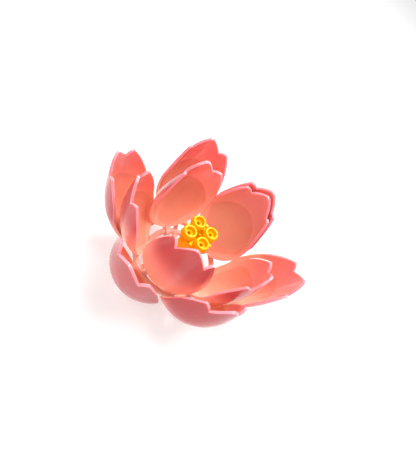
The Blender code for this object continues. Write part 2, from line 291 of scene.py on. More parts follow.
class Signal:
    """A node's output, with the arithmetic that is done on it."""

    def __init__(self, finish: "NodeSheet", socket: bpy.types.NodeSocket) -> None:
        """Hold one output of a finish's node tree."""
        self.finish = finish
        self.socket = socket

    def maths(self, operation: str, *values: Any) -> "Signal":
        """Return the result of a Math node on these values."""
        inputs = dict(enumerate(values))
        return self.finish.node("ShaderNodeMath", {"operation": operation}, inputs)

    def __add__(self, other: Any) -> "Signal":
        """Add a number or another signal."""
        return self.maths("ADD", self, other)

    def __sub__(self, other: Any) -> "Signal":
        """Take away a number or another signal."""
        return self.maths("SUBTRACT", self, other)

    def __rsub__(self, other: Any) -> "Signal":
        """Take this signal away from a number."""
        return self.maths("SUBTRACT", other, self)

    def __mul__(self, other: Any) -> "Signal":
        """Multiply by a number or another signal."""
        return self.maths("MULTIPLY", self, other)

    __radd__ = __add__
    __rmul__ = __mul__

    def root(self) -> "Signal":
        """Return the square root."""
        return self.maths("SQRT", self)

    def largest(self, other: Any) -> "Signal":
        """Return the larger of this and another."""
        return self.maths("MAXIMUM", self, other)

    def off_middle(self) -> "Signal":
        """Return how far a 0 to 1 coordinate is from its middle, which is 1 at either end."""
        return 2.0 * self.maths("ABSOLUTE", self - 0.5)

    def between(self, span: Pair) -> "Signal":
        """Return a smooth step from 0 at the start of a span to 1 at its end."""
        return self.finish.node(
            "ShaderNodeMapRange", {"interpolation_type": "SMOOTHSTEP"},
            {"Value": self, "From Min": span[0], "From Max": span[1]},
        )


class NodeSheet:
    """The node tree of one finish."""

    def __init__(self, name: str) -> None:
        """Start a material with its Principled shader and its own coordinates.

        Args:
            name: The material's name.
        """
        self.material = bpy.data.materials.new(name)
        self.material.use_nodes = True
        self.tree = self.material.node_tree
        self.shader = self.tree.nodes["Principled BSDF"]
        places = self.tree.nodes.new("ShaderNodeTexCoord")
        self.place = Signal(self, places.outputs["Object"])
        self.drawn = Signal(self, places.outputs["UV"])

    def node(self, kind: str, settings: dict[str, Any], inputs: dict[Any, Any], output: Any = 0) -> Signal:
        """Add one node.

        Args:
            kind: The node's type.
            settings: Properties that are set before its sockets.
            inputs: Values or signals for its sockets, by name or number.
            output: Name or number of the output that is wanted.

        Returns:
            That output.
        """
        made = self.tree.nodes.new(kind)
        for key, value in settings.items():
            setattr(made, key, value)
        for key, value in inputs.items():
            self.feed(made.inputs[key], value)
        return Signal(self, made.outputs[output])

    def feed(self, socket: bpy.types.NodeSocket, value: Any) -> None:
        """Link a signal to a socket, or set its value."""
        if isinstance(value, Signal):
            self.tree.links.new(value.socket, socket)
        else:
            socket.default_value = value

    def dress(self, inputs: dict[str, Any]) -> None:
        """Feed the shader's own sockets, by name, with signals or plain values."""
        for name, value in inputs.items():
            self.feed(self.shader.inputs[name], value)

    def speckle(self, size: float, detail: float = 2.0, stretch: Triple = (1.0, 1.0, 1.0),
                twist: float = 0.0) -> Signal:
        """Return a cloudy pattern, 0 to 1, on the object's own coordinates.

        Args:
            size: Width of one cloud, in millimetres.
            detail: How many finer layers it has.
            stretch: How much the pattern is squeezed along each axis.
            twist: How much the pattern is warped.

        Returns:
            The pattern.
        """
        scaled = self.node(
            "ShaderNodeVectorMath", {"operation": "MULTIPLY"},
            {0: self.place, 1: tuple(s / (size * MM) for s in stretch)},
        )
        return self.node(
            "ShaderNodeTexNoise", {}, {"Vector": scaled, "Scale": 1.0, "Detail": detail, "Distortion": twist},
        )

    def split(self, pair: Signal) -> tuple[Signal, Signal]:
        """Return the first two parts of a vector."""
        parts = [self.node("ShaderNodeSeparateXYZ", {}, {0: pair}, output=k) for k in (0, 1)]
        return parts[0], parts[1]

    def grey(self, level: Signal) -> Signal:
        """Return a grey colour of a level."""
        return self.node("ShaderNodeCombineColor", {}, {0: level, 1: level, 2: level})

    def blend(self, factor: Any, first: Any, second: Any, paint: Paint = Paint.COVER) -> Signal:
        """Lay a second colour on a first one.

        Args:
            factor: Share of the second colour, 0 to 1.
            first: The colour or signal below.
            second: The colour or signal that is laid on it.
            paint: How it lies.

        Returns:
            The blended colour.
        """
        paints = [(*c, 1.0) if isinstance(c, tuple) else c for c in (first, second)]
        return self.node(
            "ShaderNodeMix", {"data_type": "RGBA", "blend_type": paint.value},
            {0: factor, 6: paints[0], 7: paints[1]}, output=2,
        )

    def bumped(self, height: Signal, depth: float, under: Signal | None = None) -> Signal:
        """Return the normal that a height pattern gives.

        Args:
            height: The pattern, 0 to 1.
            depth: Depth of the relief, in millimetres.
            under: A normal that this relief lies on, if any.

        Returns:
            The new normal.
        """
        inputs = {"Height": height, "Distance": depth * MM, "Strength": 1.0}
        if under:
            inputs["Normal"] = under
        return self.node("ShaderNodeBump", {}, inputs)


@dataclass(frozen=True)
class MouldSkin:
    """The skin that a mould leaves: fine peel on a slow swell, with scuffs that dull it.

    Widths and depths are in millimetres.
    """

    roughness: float
    cloud_dulling: float
    scuff_dulling: float
    scuff: float
    scuff_squeeze: float
    scuff_twist: float
    scuff_band: Pair
    peel: float
    peel_depth: float
    swell: float
    swell_depth: float

    def lay(self, sheet: NodeSheet, cloud: Signal) -> None:
        """Feed the shader's roughness and normal.

        Args:
            sheet: The finish that has this skin.
            cloud: The finish's cloudy pattern, which dulls the skin too.
        """
        streaks = sheet.speckle(self.scuff, 4.0, (1.0, self.scuff_squeeze, 1.0), self.scuff_twist)
        dulling = self.cloud_dulling * (cloud - 0.5) + self.scuff_dulling * streaks.between(self.scuff_band)
        peel = sheet.bumped(sheet.speckle(self.peel), self.peel_depth)
        sheet.dress({
            "Roughness": self.roughness + dulling,
            "Normal": sheet.bumped(sheet.speckle(self.swell, 1.0), self.swell_depth, under=peel),
        })


@dataclass(frozen=True)
class PetalPlastic:
    """Glossy, slightly translucent coral plastic painted with light and shade: a peach bowl (painted light),
    pink at the tip, a paler root on the back (painted light), a darker rose outside (painted shade) and a
    darker oval in the bowl (painted shadow).

    Each fade says where along the petal, from 0 at the root to 1 at the tip, one colour turns
    into the next. The sizes of the patterns are in millimetres.
    """

    name: str
    # painted light: the bowl is painted lighter peach than the outside of the same plastic
    bowl: Colour = (0.90, 0.40, 0.29)
    tip: Colour = (0.93, 0.29, 0.27)
    tip_fade: Pair = (0.35, 0.95)
    # painted shadow: the tint that darkens an oval in the bowl
    deep: Colour = (0.84, 0.80, 0.76)
    shadow_middle: Pair = (0.5, 0.35)
    shadow_reach: Pair = (0.45, 0.33)
    shadow_edge: Pair = (0.96, 1.04)
    shadow_wander: float = 0.16
    shadow_wander_size: float = 12.0
    # painted light: the root of the back is painted pale peach, where light shines through it
    heel: Colour = (1.0, 0.66, 0.56)
    # painted shade: the outside is painted a darker rose than the bowl
    outside: Colour = (0.50, 0.11, 0.108)
    back_fade: Pair = (0.3, 0.85)
    # painted highlight: the rim band is painted lighter peach at the root
    root_rim_highlight: Colour = (0.94, 0.50, 0.42)
    rim: Colour = (0.80, 0.22, 0.28)
    rim_fade: Pair = (0.1, 0.6)
    rim_band: Pair = (0.982, 1.0)
    rim_share: float = 0.7
    shade: float = 0.93
    cloud: float = 9.0
    cloud_share: float = 0.10
    flow: float = 3.0
    flow_stretch: Triple = (1.0, 1.0, 0.3)
    flow_share: float = 0.04
    through: float = 0.8
    through_radius: Triple = (1.0, 0.65, 0.58)
    through_depth: float = 3.5
    shine: float = 0.15
    coat_outside: float = 0.03
    coat_gain: float = 0.45
    coat_roughness: float = 0.05
    side_mark: str = "hollow"
    skin: MouldSkin = MouldSkin(
        roughness=0.16, cloud_dulling=0.05, scuff_dulling=0.06, scuff=0.8, scuff_squeeze=0.12,
        scuff_twist=0.4, scuff_band=(0.62, 0.78), peel=1.1, peel_depth=0.012, swell=7.0, swell_depth=0.12,
    )

    def make(self) -> bpy.types.Material:
        """Build the finish from the petal's own map, its hollow side's mark and its patterns.

        Returns:
            The material.
        """
        sheet = NodeSheet(self.name)
        across, along = sheet.split(sheet.drawn)
        inside = sheet.node("ShaderNodeAttribute", {"attribute_name": self.side_mark}, {}, output="Fac")
        bowl = sheet.blend(along.between(self.tip_fade), self.bowl, self.tip)
        # painted shadow: a darker oval is tinted into the bowl
        shadowed_bowl = sheet.blend(1.0, bowl, self.deep, Paint.TINT)
        hollow = sheet.blend(self.painted_shadow(sheet, across, along), bowl, shadowed_bowl)
        # back: the painted-light heel fades into the painted-shade outside
        back = sheet.blend(along.between(self.back_fade), self.heel, self.outside)
        cloud = sheet.speckle(self.cloud, 3.0, twist=0.6)
        flow = sheet.speckle(self.flow, stretch=self.flow_stretch)
        shade = self.shade + self.cloud_share * cloud + self.flow_share * flow
        # painted light and shade: the hollow side takes the lighter bowl colours, the back the darker ones
        body = sheet.blend(1.0, sheet.blend(inside, back, hollow), sheet.grey(shade), Paint.TINT)
        # rim band along the petal's edge: a painted highlight in peach at the root, fading to pink further
        # out
        rim = sheet.blend(along.between(self.rim_fade), self.root_rim_highlight, self.rim)
        edge = across.off_middle().largest(along.off_middle()).between(self.rim_band)
        sheet.dress({
            "Base Color": sheet.blend(edge * self.rim_share, body, rim),
            "Subsurface Weight": self.through,
            "Subsurface Radius": self.through_radius,
            "Subsurface Scale": self.through_depth * MM,
            "Specular IOR Level": self.shine,
            "Coat Weight": self.coat_outside + self.coat_gain * inside,
            "Coat Roughness": self.coat_roughness,
        })
        self.skin.lay(sheet, cloud)
        return sheet.material

    def painted_shadow(self, sheet: NodeSheet, across: Signal, along: Signal) -> Signal:
        """Return where the painted shadow, a darker oval, lies in the bowl.

        Args:
            sheet: The finish that has the oval.
            across: The petal's own coordinate from side to side.
            along: The one from root to tip.

        Returns:
            1 inside the oval and 0 outside it, with a wandering edge.
        """
        wander = self.shadow_wander * (sheet.speckle(self.shadow_wander_size, 1.0, twist=0.3) - 0.5)
        wide = (across - self.shadow_middle[0]) * (1.0 / self.shadow_reach[0])
        tall = (along - self.shadow_middle[1]) * (1.0 / self.shadow_reach[1])
        away = (wide * wide + tall * tall).root() + wander
        return 1.0 - away.between(self.shadow_edge)


@dataclass(frozen=True)
class PlainPlastic:
    """Moulded plastic of one colour, cloudy and worn by a little."""

    name: str
    light: Colour
    deep: Colour
    cloud: float = 4.0
    cloud_fade: Pair = (0.3, 0.75)
    coat: float = 0.3
    coat_roughness: float = 0.08
    shine: float = 0.5
    skin: MouldSkin = MouldSkin(
        roughness=0.26, cloud_dulling=0.06, scuff_dulling=0.08, scuff=0.5, scuff_squeeze=0.2,
        scuff_twist=0.5, scuff_band=(0.6, 0.8), peel=0.5, peel_depth=0.01, swell=3.0, swell_depth=0.05,
    )

    def make(self) -> bpy.types.Material:
        """Build the finish.

        Returns:
            The material.
        """
        sheet = NodeSheet(self.name)
        cloud = sheet.speckle(self.cloud, 3.0, twist=0.5)
        sheet.dress({
            "Base Color": sheet.blend(cloud.between(self.cloud_fade), self.light, self.deep),
            "Specular IOR Level": self.shine,
            "Coat Weight": self.coat,
            "Coat Roughness": self.coat_roughness,
        })
        self.skin.lay(sheet, cloud)
        return sheet.material


# ---- petals --------------------------------------------------------------------------------


@dataclass(frozen=True)
class PetalSeat:
    """How one petal sits on its bar, in degrees."""

    azimuth: float
    opening: float
    lean: float = 0.0
    swivel: float = 0.0

    def place(self, ring: Ring) -> Matrix:
        """Return where the petal's own frame stands in the flower's frame.

        Args:
            ring: The ring that it clips to.

        Returns:
            The placing matrix, in millimetres.
        """
        spot = turn(self.azimuth) @ Vector((ring.radius, 0.0, ring.height))
        lean = Euler((math.radians(self.lean), -math.radians(self.opening),
                      math.radians(self.azimuth + self.swivel)))
        return Matrix.Translation(spot) @ lean.to_matrix().to_4x4()


@dataclass
class Petal:
    """The one moulded petal shape: a spoon-shaped shell on a clip, with its bore at the origin.

    Sizes are in millimetres, and places named "at" are fractions of the length. The bends give
    the curvature per millimetre at such fractions. A girth is measured round the section.
    """

    length: float = 54.7
    thickness: float = 1.3
    widest_at: float = 0.48
    widest: float = 20.6
    ear_at: float = 0.92
    ear: float = 11.3
    notch_at: float = 0.864
    notch: float = 7.7
    root_roundness: float = 2.45
    shoulder_roundness: float = 2.15
    lobe_fullness: float = 1.3
    midline_bend: Outline = ((0.0, 0.013), (0.35, 0.0425), (1.0, -0.0065))
    section_bend: Outline = ((0.0, 0.053), (0.5, 0.057), (1.0, 0.077))
    root_reach: float = 2.9
    root_rise: float = 1.7
    root_corner: float = 0.085
    root_gathering: int = 3
    tip_gathering: int = 6
    lobe_cells: int = 10
    ear_cells: int = 4
    rows: int = 44
    rim_rounding: float = 0.5
    tip_softness: float = 0.07
    bore: float = 1.95
    wall: float = 0.6
    width: float = 2.5
    mouth: float = 100.0
    clip_steps: int = 28
    clip_ease: float = 0.12
    tang_wrap: range = range(70, -81, -10)
    tang_outline: Outline = ((2.4, -2.3), (3.1, -2.0), (3.4, -1.3), (5.0, 1.6), (3.2, 2.0))
    pad_outline: Outline = ((3.25, 0.4), (3.55, 0.4), (4.95, 1.3), (4.95, 2.0), (3.25, 1.9))
    pad_half_width: float = 4.0
    steps: int = 200
    line: list[Triple] = field(default_factory=list)

    def bend(self, table: Outline, at: float) -> float:
        """Read a curvature from its table.

        Args:
            table: Fractions of the length, each with the curvature there.
            at: The fraction that is wanted.

        Returns:
            The curvature at that fraction.
        """
        for (start, first), (end, second) in zip(table, table[1:]):
            if at <= end:
                break
        return first + (second - first) * (at - start) / (end - start)

    def walk_midline(self) -> None:
        """Walk the midline from the root to the tip and note distance, height and slope."""
        step = 1.0 / self.steps
        forward, upward, slope = self.root_reach, self.root_rise, 0.0
        self.line = [(forward, upward, slope)]
        for k in range(self.steps):
            gain = self.bend(self.midline_bend, (k + 0.5) * step) * self.length * step
            forward += math.cos(slope + gain / 2) * self.length * step
            upward += math.sin(slope + gain / 2) * self.length * step
            slope += gain
            self.line.append((forward, upward, slope))

    def on_midline(self, at: float) -> Vector:
        """Read the walked midline between two of its steps.

        Args:
            at: Fraction of the length.

        Returns:
            Distance, height and slope there.
        """
        spot = min(max(at, 0.0) * self.steps, self.steps - 1e-6)
        index = int(spot)
        return Vector(self.line[index]).lerp(Vector(self.line[index + 1]), spot - index)

    def half_girth(self, at: float) -> float:
        """Return half of the petal's girth.

        Args:
            at: Fraction of the length.

        Returns:
            The girth from the midline to the rim, before the lobes are cut.
        """
        if at < self.widest_at:
            back = (self.widest_at - at) / self.widest_at
            return self.widest * math.sqrt(max(0.0, 1.0 - back ** self.root_roundness))
        beyond = (at - self.widest_at) / (self.ear_at - self.widest_at)
        return self.widest - (self.widest - self.ear) * beyond ** self.shoulder_roundness

    def root_at(self, girth: float) -> float:
        """Return the fraction of the length where the round root starts, off the midline."""
        inside = 1.0 - (girth / self.widest) ** 2
        return self.widest_at * (1.0 - inside ** (1.0 / self.root_roundness))

    def tip_at(self, girth: float) -> float:
        """Return how far the three-lobed tip reaches, off the midline.

        Args:
            girth: How far round the section, either way.

        Returns:
            The fraction of the length where the tip ends.
        """
        girth = abs(girth)
        if girth <= self.notch:
            share = girth / self.notch
            soft = math.sqrt(share ** 2 + self.tip_softness ** 2) - self.tip_softness
            soft /= math.sqrt(1.0 + self.tip_softness ** 2) - self.tip_softness
            return 1.0 - (1.0 - self.notch_at) * soft ** self.lobe_fullness
        rise = (girth - self.notch) / (self.ear - self.notch)
        return self.notch_at + (self.ear_at - self.notch_at) * math.sqrt(rise)

    def on_shell(self, at: float, girth: float) -> Vector:
        """Return a point of the shell's middle surface.

        Args:
            at: Fraction of the length.
            girth: How far round the section from the midline.

        Returns:
            The point, in the petal's own frame.
        """
        forward, upward, slope = self.on_midline(at)
        bend = self.bend(self.section_bend, at)
        arc = girth * bend
        rise = (1.0 - math.cos(arc)) / bend
        return Vector((forward - math.sin(slope) * rise, math.sin(arc) / bend,
                       upward + math.cos(slope) * rise))

    def column(self, index: int) -> float:
        """Return how far out a column of the blank lies, with one column on each notch.

        Args:
            index: Number of the column, counted from the midline either way.

        Returns:
            Its share of the blank's half width, with the index's sign.
        """
        away = abs(index)
        share = self.notch / self.ear
        if away <= self.lobe_cells:
            out = share * away / self.lobe_cells
        else:
            out = share + (1.0 - share) * (away - self.lobe_cells) / self.ear_cells
        return math.copysign(out, index)

    def shell(self) -> bpy.types.Object:
        """Form the spoon-shaped shell from a flat blank, thicken it and round its rim.

        Returns:
            The shell, with the blank's own map across and along it.
        """
        self.walk_midline()
        half = self.lobe_cells + self.ear_cells
        bpy.ops.mesh.primitive_grid_add(x_subdivisions=2 * half, y_subdivisions=self.rows, size=2.0)
        piece = bpy.context.object
        for vertex in piece.data.vertices:
            out = self.column(round(vertex.co.x * half))
            row = (vertex.co.y + 1.0) / 2.0
            # A row keeps its level, but the first rows follow the round root and the last the lobes.
            level = self.root_corner + (self.ear_at - self.root_corner) * row
            dip = self.root_at(out * self.half_girth(self.root_corner)) - self.root_corner
            crest = self.tip_at(out * self.ear) - self.ear_at
            at = level + dip * (1.0 - row) ** self.root_gathering + crest * row ** self.tip_gathering
            vertex.co = self.on_shell(at, out * self.half_girth(level))
        apply_modifier(piece, "SOLIDIFY", thickness=self.thickness, offset=0.0, use_even_offset=True)
        round_edges(piece, self.rim_rounding, segments=3, angle=50.0)
        return tidy_shell(piece)

    def clip(self) -> bpy.types.Object:
        """Spin the clip's wall round the bar, from one lip of its mouth to the other.

        Returns:
            The clip, its mouth facing down.
        """
        start = math.radians(180.0 + self.mouth / 2)
        corners = [(r * math.cos(start), r * math.sin(start)) for r in (self.bore, self.bore + self.wall)]
        half = self.width / 2
        bpy.ops.mesh.primitive_plane_add(size=2.0, calc_uvs=False)
        piece = bpy.context.object
        spots = [(*corners[0], -half), (*corners[1], -half), (*corners[0], half), (*corners[1], half)]
        for vertex, spot in zip(piece.data.vertices, spots):
            vertex.co = spot
        with editing(piece):
            bpy.ops.mesh.spin(
                steps=self.clip_steps, angle=math.radians(360.0 - self.mouth),
                center=(0, 0, 0), axis=(0, 0, 1),
            )
        round_edges(tidy_shell(piece), self.clip_ease)
        settle(piece, ON_EDGE)
        return piece

    def tang(self) -> bpy.types.Object:
        """Cut the heel behind the clip, which runs up to the underside of the shell.

        Returns:
            The heel.
        """
        back = self.bore + self.wall / 2
        turns = [math.radians(angle) for angle in self.tang_wrap]
        outline = [(back * math.cos(t), back * math.sin(t)) for t in turns]
        return plate([*outline, *self.tang_outline], -self.width / 2, self.width / 2, ON_EDGE)

    def pad(self) -> bpy.types.Object:
        """Cut the pad that thickens the shell's root on both sides of the tang."""
        return plate(self.pad_outline, -self.pad_half_width, self.pad_half_width, ON_EDGE)

    def build(self) -> bpy.types.Object:
        """Join the shell, the clip, the tang and the pad, and mark the hollow side's faces.

        Returns:
            The whole petal in its own frame.
        """
        shell = self.shell()
        combine(shell, [self.clip(), self.tang(), self.pad()])
        tidy_shell(shell)
        mark = shell.data.attributes.new(PetalPlastic.side_mark, "FLOAT", "FACE")
        # The petal's own z points to the hollow side of the shell.
        for face, spot in zip(shell.data.polygons, mark.data):
            spot.value = float(face.normal.z > 0.0)
        return shell


@dataclass
class Corolla:
    """The outer and the inner ring of petals; the outer petals' backs are painted darker, as painted shade.
    """

    # painted shade: the same plastic as the inner petals, its heel and outside painted darker
    outer_shaded_finish: PetalPlastic = PetalPlastic(
        "outer_petal_shaded_finish", heel=(0.80, 0.34, 0.30), outside=(0.47, 0.095, 0.10), back_fade=(0.0, 0.6),
    )
    inner_finish: PetalPlastic = PetalPlastic("inner_petal_finish")
    outer: tuple[PetalSeat, ...] = (
        PetalSeat(192.4, 15.7, -1.5, 0.5), PetalSeat(132.4, 28.4), PetalSeat(71.4, 36.7, 1.1, -0.4),
        PetalSeat(14.7, 13.9, 1.2, 0.4), PetalSeat(-51.1, 25.5, -5.5, 3.9),
        PetalSeat(-104.4, 19.2, -0.2, -0.4),
    )
    inner: tuple[PetalSeat, ...] = (
        PetalSeat(204.6, 23.0, 0.1), PetalSeat(146.1, 37.7, 1.1, -1.6),
        PetalSeat(68.6, 31.8, -0.5, -0.4), PetalSeat(-6.3, 26.9, 0.0, -0.2),
        PetalSeat(-82.5, 39.6, 0.4, 1.0),
    )

    def build(self) -> None:
        """Mould one petal, then clip a copy of it to each seat."""
        master = Petal().build()
        rings = (("outer", self.outer, OUTER_RING, self.outer_shaded_finish),
                 ("inner", self.inner, INNER_RING, self.inner_finish))
        for name, seats, ring, plastic in rings:
            finish = plastic.make()
            for number, seat in enumerate(seats, start=1):
                deliver(copy_of(master), f"petal_{name}_{number}", f"{name}_petal_{number}",
                        finish, seat.place(ring))
        bpy.data.objects.remove(master)


# ---- carriers and hub ----------------------------------------------------------------------


@dataclass
class Carriers:
    """The two ring carriers that the petals clip to."""

    bar: float = 1.5
    collar: float = 6.5
    collar_depth: float = 2.2
    lower_collar_top: float = -35.1
    ease: float = 0.3
    spoke_width: float = 2.4
    spoke_start: float = 4.1
    spoke_share: float = 0.6
    spoke_inset: float = 0.2
    post: float = 1.0
    post_share: float = 0.8
    flare: float = 0.35
    flare_at: float = 0.9
    flare_top: float = 1.9
    inner_spokes: tuple[float, ...] = (126.0, 216.0, 306.0, 36.0)
    outer_spokes: tuple[float, ...] = (1.5, 61.5, 121.5, 181.5, 241.5, 301.5)

    def bent(self, ring: Ring) -> bpy.types.Object:
        """Bend a round bar to a ring.

        Args:
            ring: Its middle line.

        Returns:
            The ring.
        """
        bpy.ops.mesh.primitive_torus_add(
            location=(0.0, 0.0, ring.height), major_radius=ring.radius, minor_radius=self.bar,
            major_segments=120, minor_segments=24, generate_uvs=False,
        )
        piece = bpy.context.object
        bpy.ops.object.transform_apply()
        return piece

    def middle(self, top: float) -> bpy.types.Object:
        """Turn the bored collar at the middle of a carrier, with eased edges.

        Args:
            top: Height of its upper face.

        Returns:
            The collar.
        """
        ease, bottom = self.ease, top - self.collar_depth
        section = (
            (STACK_BORE, bottom + ease), (STACK_BORE + ease, bottom), (self.collar - ease, bottom),
            (self.collar, bottom + ease), (self.collar, top - ease), (self.collar - ease, top),
            (STACK_BORE + ease, top), (STACK_BORE, top - ease),
        )
        return turned(section, 48, bored=True)

    def spoke(self, azimuth: float, end: float, low: float, high: float) -> bpy.types.Object:
        """Cut a flat spoke with eased edges, from inside the collar outwards.

        Args:
            azimuth: Its direction, in degrees.
            end: Radius where it ends.
            low: Height of its lower face.
            high: Height of its upper face.

        Returns:
            The spoke.
        """
        half, start = self.spoke_width / 2, self.spoke_start
        piece = plate(((start, -half), (end, -half), (end, half), (start, half)), low, high)
        round_edges(piece, self.ease, segments=3)
        settle(piece, turn(azimuth))
        return piece

    def upright(self, azimuth: float, low: float) -> bpy.types.Object:
        """Turn the post that carries the outer ring above a spoke, flared at its foot.

        Args:
            azimuth: The spoke's direction, in degrees.
            low: Height of the post's foot.

        Returns:
            The post.
        """
        spot = turn(azimuth) @ Vector((OUTER_RING.radius, 0.0, 0.0))
        profile = ((self.post, low), (self.post + self.flare, low + self.flare_at),
                   (self.post, low + self.flare_top), (self.post, OUTER_RING.height))
        return turned(profile, 24, (spot.x, spot.y))

    def build(self, finish: bpy.types.Material) -> None:
        """Make both carriers.

        Args:
            finish: Their plastic.
        """
        inner = self.bent(INNER_RING)
        half = self.bar * self.spoke_share
        spokes = [self.spoke(azimuth, INNER_RING.radius, INNER_RING.height - half, INNER_RING.height + half)
                  for azimuth in self.inner_spokes]
        combine(inner, [self.middle(INNER_RING.height + self.collar_depth / 2), *spokes])
        deliver(tidy_shell(inner), "inner_carrier", "inner_ring_carrier", finish)

        outer = self.bent(OUTER_RING)
        low = self.lower_collar_top - self.collar_depth + self.spoke_inset
        high = self.lower_collar_top - self.spoke_inset
        parts = [self.middle(self.lower_collar_top)]
        for azimuth in self.outer_spokes:
            parts.append(self.spoke(azimuth, OUTER_RING.radius + self.post * self.post_share, low, high))
            parts.append(self.upright(azimuth, low + self.spoke_inset))
        combine(outer, parts)
        deliver(tidy_shell(outer), "outer_carrier", "outer_ring_carrier", finish)


@dataclass
class Hub:
    """The stack in the middle: a flat foot, a spacer, a column and the pin through them."""

    foot: float = 9.0
    bottom: float = -40.3
    foot_top: float = -37.6
    foot_floor: float = 0.7
    foot_ease: float = 0.6
    groove: float = 0.35
    hollow: float = 3.2
    inner_rest: Pair = (3.6, 5.4)
    outer_rest: float = 6.6
    spacer: float = 4.5
    spacer_span: Pair = (-34.8, -33.8)
    column: float = 5.0
    column_span: Pair = (-31.0, -14.4)
    pin: float = 2.3
    pin_span: Pair = (-39.3, -9.8)
    ease: float = 0.3

    def tube(self, radius: float, span: Pair) -> bpy.types.Object:
        """Turn a bored tube with eased edges.

        Args:
            radius: Its outer radius.
            span: Heights of its two ends.

        Returns:
            The tube.
        """
        low, high = span
        bore, ease = STACK_BORE, min(self.ease, (high - low) / 4)
        section = (
            (bore, low + ease), (bore + ease, low), (radius - ease, low), (radius, low + ease),
            (radius, high - ease), (radius - ease, high), (bore + ease, high), (bore, high - ease),
        )
        return turned(section, 48, bored=True)

    def stand(self) -> bpy.types.Object:
        """Turn the foot, which rests on two flat rings with a groove between them.

        Returns:
            The foot.
        """
        bottom, roof = self.bottom, self.bottom + self.groove
        ease, soft = self.ease, self.foot_ease
        return turned((
            (self.hollow, roof), (self.inner_rest[0], bottom), (self.inner_rest[1], bottom),
            (self.inner_rest[1] + ease, roof), (self.outer_rest - ease, roof), (self.outer_rest, bottom),
            (self.foot - soft, bottom), (self.foot - soft * ARC_SHARE, bottom + soft * ARC_SHARE),
            (self.foot, bottom + soft), (self.foot, self.foot_top - ease),
            (self.foot - ease, self.foot_top), (STACK_BORE + ease, self.foot_top),
            (STACK_BORE, self.foot_top - ease), (STACK_BORE, bottom + self.foot_floor),
        ))

    def build(self, finish: bpy.types.Material) -> None:
        """Make the stack.

        Args:
            finish: Its plastic.
        """
        deliver(self.stand(), "foot", "hub_foot", finish)
        deliver(self.tube(self.spacer, self.spacer_span), "spacer", "hub_spacer", finish)
        deliver(self.tube(self.column, self.column_span), "column", "hub_column", finish)
        low, high = self.pin_span
        pin = turned(((self.pin - self.ease, low), (self.pin, low + self.ease),
                      (self.pin, high - self.ease), (self.pin - self.ease, high)), 32)
        deliver(pin, "pin", "centre_pin", finish)


# ---- yellow centre -------------------------------------------------------------------------


